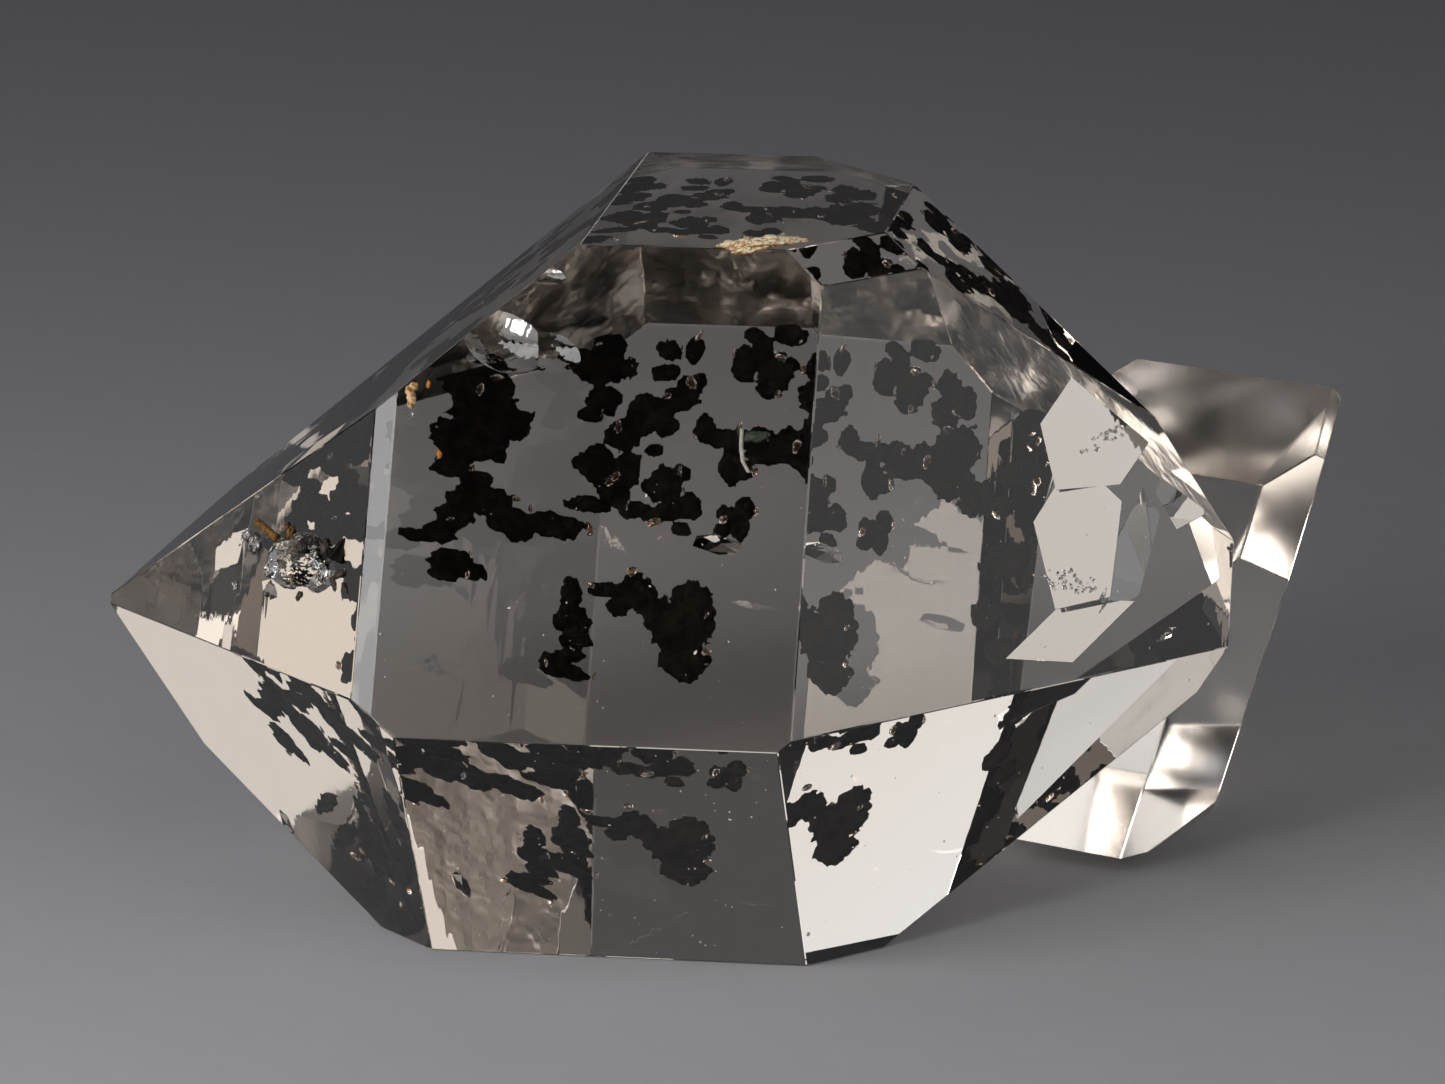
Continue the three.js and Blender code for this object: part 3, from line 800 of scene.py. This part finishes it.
def black_grain(placing):
    """A broken grain coming to a point."""
    mesh = bmesh.new()
    lying = Matrix.Translation((0, 0.1, 0)) @ Matrix.Rotation(-math.pi / 2, 4, "X")
    bmesh.ops.create_cone(mesh, cap_ends=True, segments=7, radius1=0.24, radius2=0.03, depth=0.62,
                          matrix=lying)
    bmesh.ops.subdivide_edges(mesh, edges=mesh.edges, cuts=3, use_grid_fill=True)
    for vert in mesh.verts:
        vert.co *= 1 + 0.22 * noise.noise(vert.co * 5 + Vector((2, 0, 0)))
    bmesh.ops.bisect_plane(mesh, geom=mesh.verts[:] + mesh.edges[:] + mesh.faces[:], dist=1e-4,
                           plane_co=(0, -0.2, 0), plane_no=(0.3, -1, 0.2), clear_outer=True)
    rim = [e for e in mesh.edges if e.is_boundary]
    bmesh.ops.contextual_create(mesh, geom=rim)
    bmesh.ops.triangulate(mesh, faces=[f for f in mesh.faces if len(f.verts) > 4])
    bmesh.ops.recalc_face_normals(mesh, faces=mesh.faces)
    lifted = placing @ Matrix.Translation((0, 0, 0.08))
    bmesh.ops.transform(mesh, matrix=lifted, verts=mesh.verts)
    return mesh


def crumbs(table, unevenness=0.35, detail=4):
    """Crumbs resting on faces, sunk a little into them."""
    lumps = []
    for number, (face, place, half) in enumerate(table):
        middle = Vector(place) + face_normal(*MAIN_FACES[face][:3]) * half[2] * 0.35
        lumps.append(lump(on_face(face, middle, 9 * number), half, detail, unevenness, number + 0.5))
    return joined(lumps)


def crust():
    """A crumbly crust lying against the top front edge."""
    lumps = [lump(Matrix.Translation(place), half, 5, 0.4, number + 2.5)
             for number, (place, half) in enumerate(CRUST_LUMPS)]
    whole = lumps[0]
    for following in lumps[1:]:
        whole = combined(whole, following, "UNION")
    return combined(whole, main_crystal(-CRUST_GAP), "DIFFERENCE")


def dust():
    """Specks of rock dust on the faces towards the front."""
    draw = random.Random(5)
    crystal = main_crystal()
    shell = BVHTree.FromBMesh(crystal)
    crystal.free()
    specks = []
    for number in range(DUST_COUNT):
        start = Vector((draw.uniform(*DUST_FROM_X), DUST_FROM_Y, draw.uniform(*DUST_FROM_Z)))
        spot, facing, face, distance = shell.ray_cast(start, DUST_FALL)
        if spot is None or spot.y < DUST_FRONT or spot.z < DUST_BOTTOM:
            continue
        size = DUST_SIZE * draw.lognormvariate(0, 0.45)
        lie = Matrix.Translation(spot + facing * size * 0.3)
        lie = lie @ facing.to_track_quat("Z", "Y").to_matrix().to_4x4()
        turn = Matrix.Rotation(draw.uniform(0, math.tau), 4, "Z")
        half = (size * draw.uniform(1, 2.2), size, size * 0.5)
        specks.append(lump(lie @ turn, half, 1, 0.3, number, False))
    return joined(specks)


def colour_setting(name, description, hex_colour):
    return bpy.props.FloatVectorProperty(
        name=name, description=description, default=linear(hex_colour), size=4, min=0, max=1,
        subtype="COLOR")


class ClearQuartzSettings(bpy.types.PropertyGroup):
    tint: colour_setting("Tint", "What colour long ways through the quartz take on", "#ecd0a8")
    ior: bpy.props.FloatProperty(
        name="IOR", description="Index of refraction of quartz", default=QUARTZ_IOR)
    tint_density: bpy.props.FloatProperty(
        name="Tint density", description="How fast the tint takes light, for each metre", default=23.0)
    edge_wear: bpy.props.FloatProperty(
        name="Edge wear", description="Width of the tiny flat along each edge", default=0.03 * MM,
        unit="LENGTH", precision=6)
    small_crystal_dullness: bpy.props.FloatProperty(
        name="Small crystal dullness", description="Roughness of the smaller crystal's faces",
        default=0.12, min=0, max=1, subtype="FACTOR")
    hillock_dullness: bpy.props.FloatProperty(
        name="Hillock dullness", description="Roughness of the back faces with growth hillocks",
        default=0.2, min=0, max=1, subtype="FACTOR")


class CarbonSettings(bpy.types.PropertyGroup):
    high_places: colour_setting("High places", "Colour where the soot stands up", "#221f1b")
    film_thickness: bpy.props.FloatProperty(
        name="Film thickness", description="Thickness of the soot in the middle of a patch",
        default=0.16 * MM, unit="LENGTH", precision=6)


class CrustSettings(bpy.types.PropertyGroup):
    dolomite_pale: colour_setting("Dolomite", "Colour of the clean dolomite", "#e0d2b0")
    dolomite_rusted: colour_setting("Rusted dolomite", "Colour of the rusted dolomite", "#9a6424")
    rust: colour_setting("Rust", "Colour of the rusty crumbs", "#7d5518")
    clay: colour_setting("Clay", "Colour of the clay crumbs", "#3a2c1c")


class StageSettings(bpy.types.PropertyGroup):
    paper: colour_setting("Floor", "Colour of the floor", "#adadb0")
    lens: bpy.props.FloatProperty(
        name="Lens", description="Focal length", default=185.55, unit="CAMERA")


class QUARTZ_OT_clear_crystal(bpy.types.Operator):
    """Add the clear crystal with the smaller one grown into it"""

    bl_idname = "quartz.clear_crystal"
    bl_label = "Clear crystal"

    def execute(self, context):
        settings = context.scene.quartz_clear
        finish_piece("clear_quartz", clear_body(settings), clear_quartz_material(settings),
                     ("quartz_front", "quartz_back"))
        return {"FINISHED"}


class QUARTZ_OT_carbon(bpy.types.Operator):
    """Add the films of carbon sealed in the crystal"""

    bl_idname = "quartz.carbon"
    bl_label = "Carbon films"

    def execute(self, context):
        settings = context.scene.quartz_carbon
        soot = carbon_material(tuple(settings.high_places))
        thickness = settings.film_thickness / MM
        for name, lobes in CARBON_PATCHES.items():
            finish_piece(f"film_{name}", carbon_film(lobes, thickness), soot,
                         (f"carbon_{name}",))
        for name, lobes in CARBON_DUSTINGS.items():
            finish_piece(f"film_{name}", carbon_film(lobes, thickness), soot)
        return {"FINISHED"}


class QUARTZ_OT_crust(bpy.types.Operator):
    """Add the crust of mother rock and the rusty and brown crumbs"""

    bl_idname = "quartz.crust"
    bl_label = "Crust and crumbs"

    def execute(self, context):
        settings = context.scene.quartz_crust
        dolomite = dolomite_material(tuple(settings.dolomite_rusted), tuple(settings.dolomite_pale))
        finish_piece("dolomite_crust", crust(), dolomite, ("matrix_crust",))
        # Limonite, an earthy iron rust: golden brown, dull.
        rust = crumb_material(
            "limonite_earthy", linear("#3a2206"), tuple(settings.rust), 0.08, 0.85, 0.01)
        finish_piece("rusty_crumbs", crumbs(RUSTY_CRUMBS), rust)
        finish_piece("rusty_rod", rounded_rod(RUSTY_ROD, RUSTY_ROD_RADIUS), rust)
        # Dolomite sand stuck on the shoulder: tan to brown, with no shine.
        sand = crumb_material(
            "dolomite_sand", linear("#7a4c20"), linear("#d8b888"), 0.1, 0.9, 0.01)
        finish_piece("tan_crumbs", crumbs(TAN_CRUMBS), sand)
        # Limonite again, in flecks thin enough to glow orange.
        ochre = crumb_material(
            "limonite_thin_flecks", linear("#8a4a04"), linear("#c47c08"), 0.06, 0.6, 0.004)
        finish_piece("orange_flecks", crumbs(ORANGE_FLECKS, 0.2), ochre)
        # Clay dried on in the cavity: dark brown, with a low waxy shine.
        clay = crumb_material(
            "clay_dried_waxy", linear("#100d09"), tuple(settings.clay), 0.07, 0.55, 0.01)
        finish_piece("clay_crumbs", crumbs(BROWN_CRUMBS), clay)
        return {"FINISHED"}


class QUARTZ_OT_hollow_filling(bpy.types.Operator):
    """Add the clear splinters, the black grain, the fibre, the green flake and the dust"""

    bl_idname = "quartz.hollow_filling"
    bl_label = "Splinters, grain and dust"

    def execute(self, context):
        # Splinters of quartz, freshly broken: clear and sparkling.
        splinter = crumb_material(
            "quartz_splinters_broken", linear("#ffffff"), linear("#f4f6f8"), 0.1, 0.05, 0.004,
            **{"Transmission Weight": 1.0, "IOR": QUARTZ_IOR})
        finish_piece("quartz_splinters", crumbs(CLEAR_CRUMBS, 0.5, 3), splinter)
        # Anthraxolite, broken like glass: black, with a sharp shine.
        coal = crumb_material(
            "carbon_glassy_fracture", linear("#030202"), linear("#140d08"), 0.12, 0.3, 0.01,
            **{"Specular IOR Level": 0.25})
        face, place = BLACK_GRAIN
        finish_piece("black_grain", black_grain(on_face(face, place, -20)), coal)
        # A bleached plant fibre: pale, and a little see-through.
        fibre = crumb_material(
            "plant_fibre_bleached", linear("#b9b2a6"), linear("#d9d4ca"), 0.1, 0.5, 0.003,
            **{"Transmission Weight": 0.45, "IOR": PLANT_IOR})
        finish_piece("pale_fibre", rounded_rod(FIBRE_PATH, FIBRE_RADIUS), fibre)
        # A flake of dried algae: nearly black, green where the light catches it.
        algae = crumb_material(
            "algae_flake_dried", linear("#070d03"), linear("#18260a"), 0.12, 0.6, 0.004)
        face, place = GREEN_FLAKE
        finish_piece("green_flake", lump(on_face(face, place, 8), GREEN_FLAKE_HALF, 4, 0.35, 6.0),
                     algae)
        # Rock dust: pale dull specks, as coarse as they must be to show.
        rock_dust = crumb_material(
            "rock_dust_pale", linear("#b8b0a4"), linear("#e6e2da"), 0.05, 0.9, 0.002)
        finish_piece("rock_dust", dust(), rock_dust)
        return {"FINISHED"}


def add_light(name, size, place, target, radiance, colour="#ffffff"):
    """A rectangular soft light, placed and aimed in millimetres from the crystal's middle."""
    data = bpy.data.lights.new(name, "AREA")
    data.shape = "RECTANGLE"
    data.size, data.size_y = size[0] * MM, size[1] * MM
    data.energy = radiance * math.pi * data.size * data.size_y
    data.color = linear(colour)[:3]
    lamp = bpy.data.objects.new(name, data)
    lamp.location = (Vector(place) + CRYSTAL_MIDDLE) * MM
    lamp.rotation_euler = (Vector(target) - Vector(place)).to_track_quat("-Z", "Y").to_euler()
    lamp.visible_camera = False
    bpy.context.scene.collection.objects.link(lamp)
    return lamp


def light_place(azimuth, height, distance):
    azimuth, height = math.radians(azimuth), math.radians(height)
    level = distance * math.cos(height)
    return Vector((level * math.sin(azimuth), level * math.cos(azimuth), distance * math.sin(height)))


def add_camera(settings):
    data = bpy.data.cameras.new("camera")
    data.lens = settings.lens
    data.sensor_width = SENSOR_WIDTH
    data.clip_start, data.clip_end = 0.01, 4
    camera = bpy.data.objects.new("camera", data)
    camera.location = (CAMERA_PLACE + CRYSTAL_MIDDLE) * MM
    look = (CAMERA_AIM - CAMERA_PLACE).to_track_quat("-Z", "Y").to_matrix()
    roll = Matrix.Rotation(math.radians(CAMERA_ROLL), 3, "Z")
    camera.rotation_euler = (look @ roll).to_euler()
    bpy.context.scene.collection.objects.link(camera)
    bpy.context.scene.camera = camera


class QUARTZ_OT_studio(bpy.types.Operator):
    """Add the floor, the soft lights and the camera"""

    bl_idname = "quartz.studio"
    bl_label = "Studio"

    def execute(self, context):
        scene = context.scene
        mesh = bmesh.new()
        bmesh.ops.create_circle(mesh, cap_ends=True, radius=FLOOR_RADIUS, segments=128)
        data = bpy.data.meshes.new("floor")
        mesh.to_mesh(data)
        mesh.free()
        data.materials.append(paper_material(tuple(scene.quartz_stage.paper)))
        floor = bpy.data.objects.new("floor", data)
        floor.location.z = -FLOOR_DROP
        scene.collection.objects.link(floor)
        world = bpy.data.worlds.new("dim_room")
        world.use_nodes = True
        background = world.node_tree.nodes["Background"]
        background.inputs["Color"].default_value = linear(ROOM_COLOUR)
        background.inputs["Strength"].default_value = 1.0
        scene.world = world
        for name, (azimuth, height, distance, size, radiance, colour) in SOFTBOXES.items():
            add_light(name, size, light_place(azimuth, height, distance), (0, 0, 0), radiance, colour)
        for name, (place, target, size, radiance, spread) in OVERHEAD_LIGHTS.items():
            lamp = add_light(name, size, place, target, radiance)
            lamp.data.spread = math.radians(spread)
        add_camera(scene.quartz_stage)
        scene.view_settings.view_transform = "Standard"
        return {"FINISHED"}


class QUARTZ_PT_panel(bpy.types.Panel):
    """Lists the crystal's pieces"""

    bl_idname = "QUARTZ_PT_panel"
    bl_label = "Herkimer diamond quartz"
    bl_space_type = "VIEW_3D"
    bl_region_type = "UI"
    bl_category = "Quartz"

    def draw(self, context):
        layout = self.layout
        for operator in OPERATORS:
            layout.operator(operator.bl_idname)


SETTINGS = {"quartz_clear": ClearQuartzSettings, "quartz_carbon": CarbonSettings,
            "quartz_crust": CrustSettings, "quartz_stage": StageSettings}
OPERATORS = (QUARTZ_OT_clear_crystal, QUARTZ_OT_carbon, QUARTZ_OT_crust, QUARTZ_OT_hollow_filling,
             QUARTZ_OT_studio)


def register():
    for group in SETTINGS.values():
        bpy.utils.register_class(group)
    for name, group in SETTINGS.items():
        setattr(bpy.types.Scene, name, bpy.props.PointerProperty(type=group))
    for kind in (*OPERATORS, QUARTZ_PT_panel):
        bpy.utils.register_class(kind)


def unregister():
    for kind in (QUARTZ_PT_panel, *reversed(OPERATORS)):
        bpy.utils.unregister_class(kind)
    for name in SETTINGS:
        delattr(bpy.types.Scene, name)
    for group in reversed(SETTINGS.values()):
        bpy.utils.unregister_class(group)


def main():
    register()
    bpy.ops.quartz.clear_crystal()
    bpy.ops.quartz.carbon()
    bpy.ops.quartz.crust()
    bpy.ops.quartz.hollow_filling()
    bpy.ops.quartz.studio()
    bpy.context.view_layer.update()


if __name__ == "__main__":
    main()
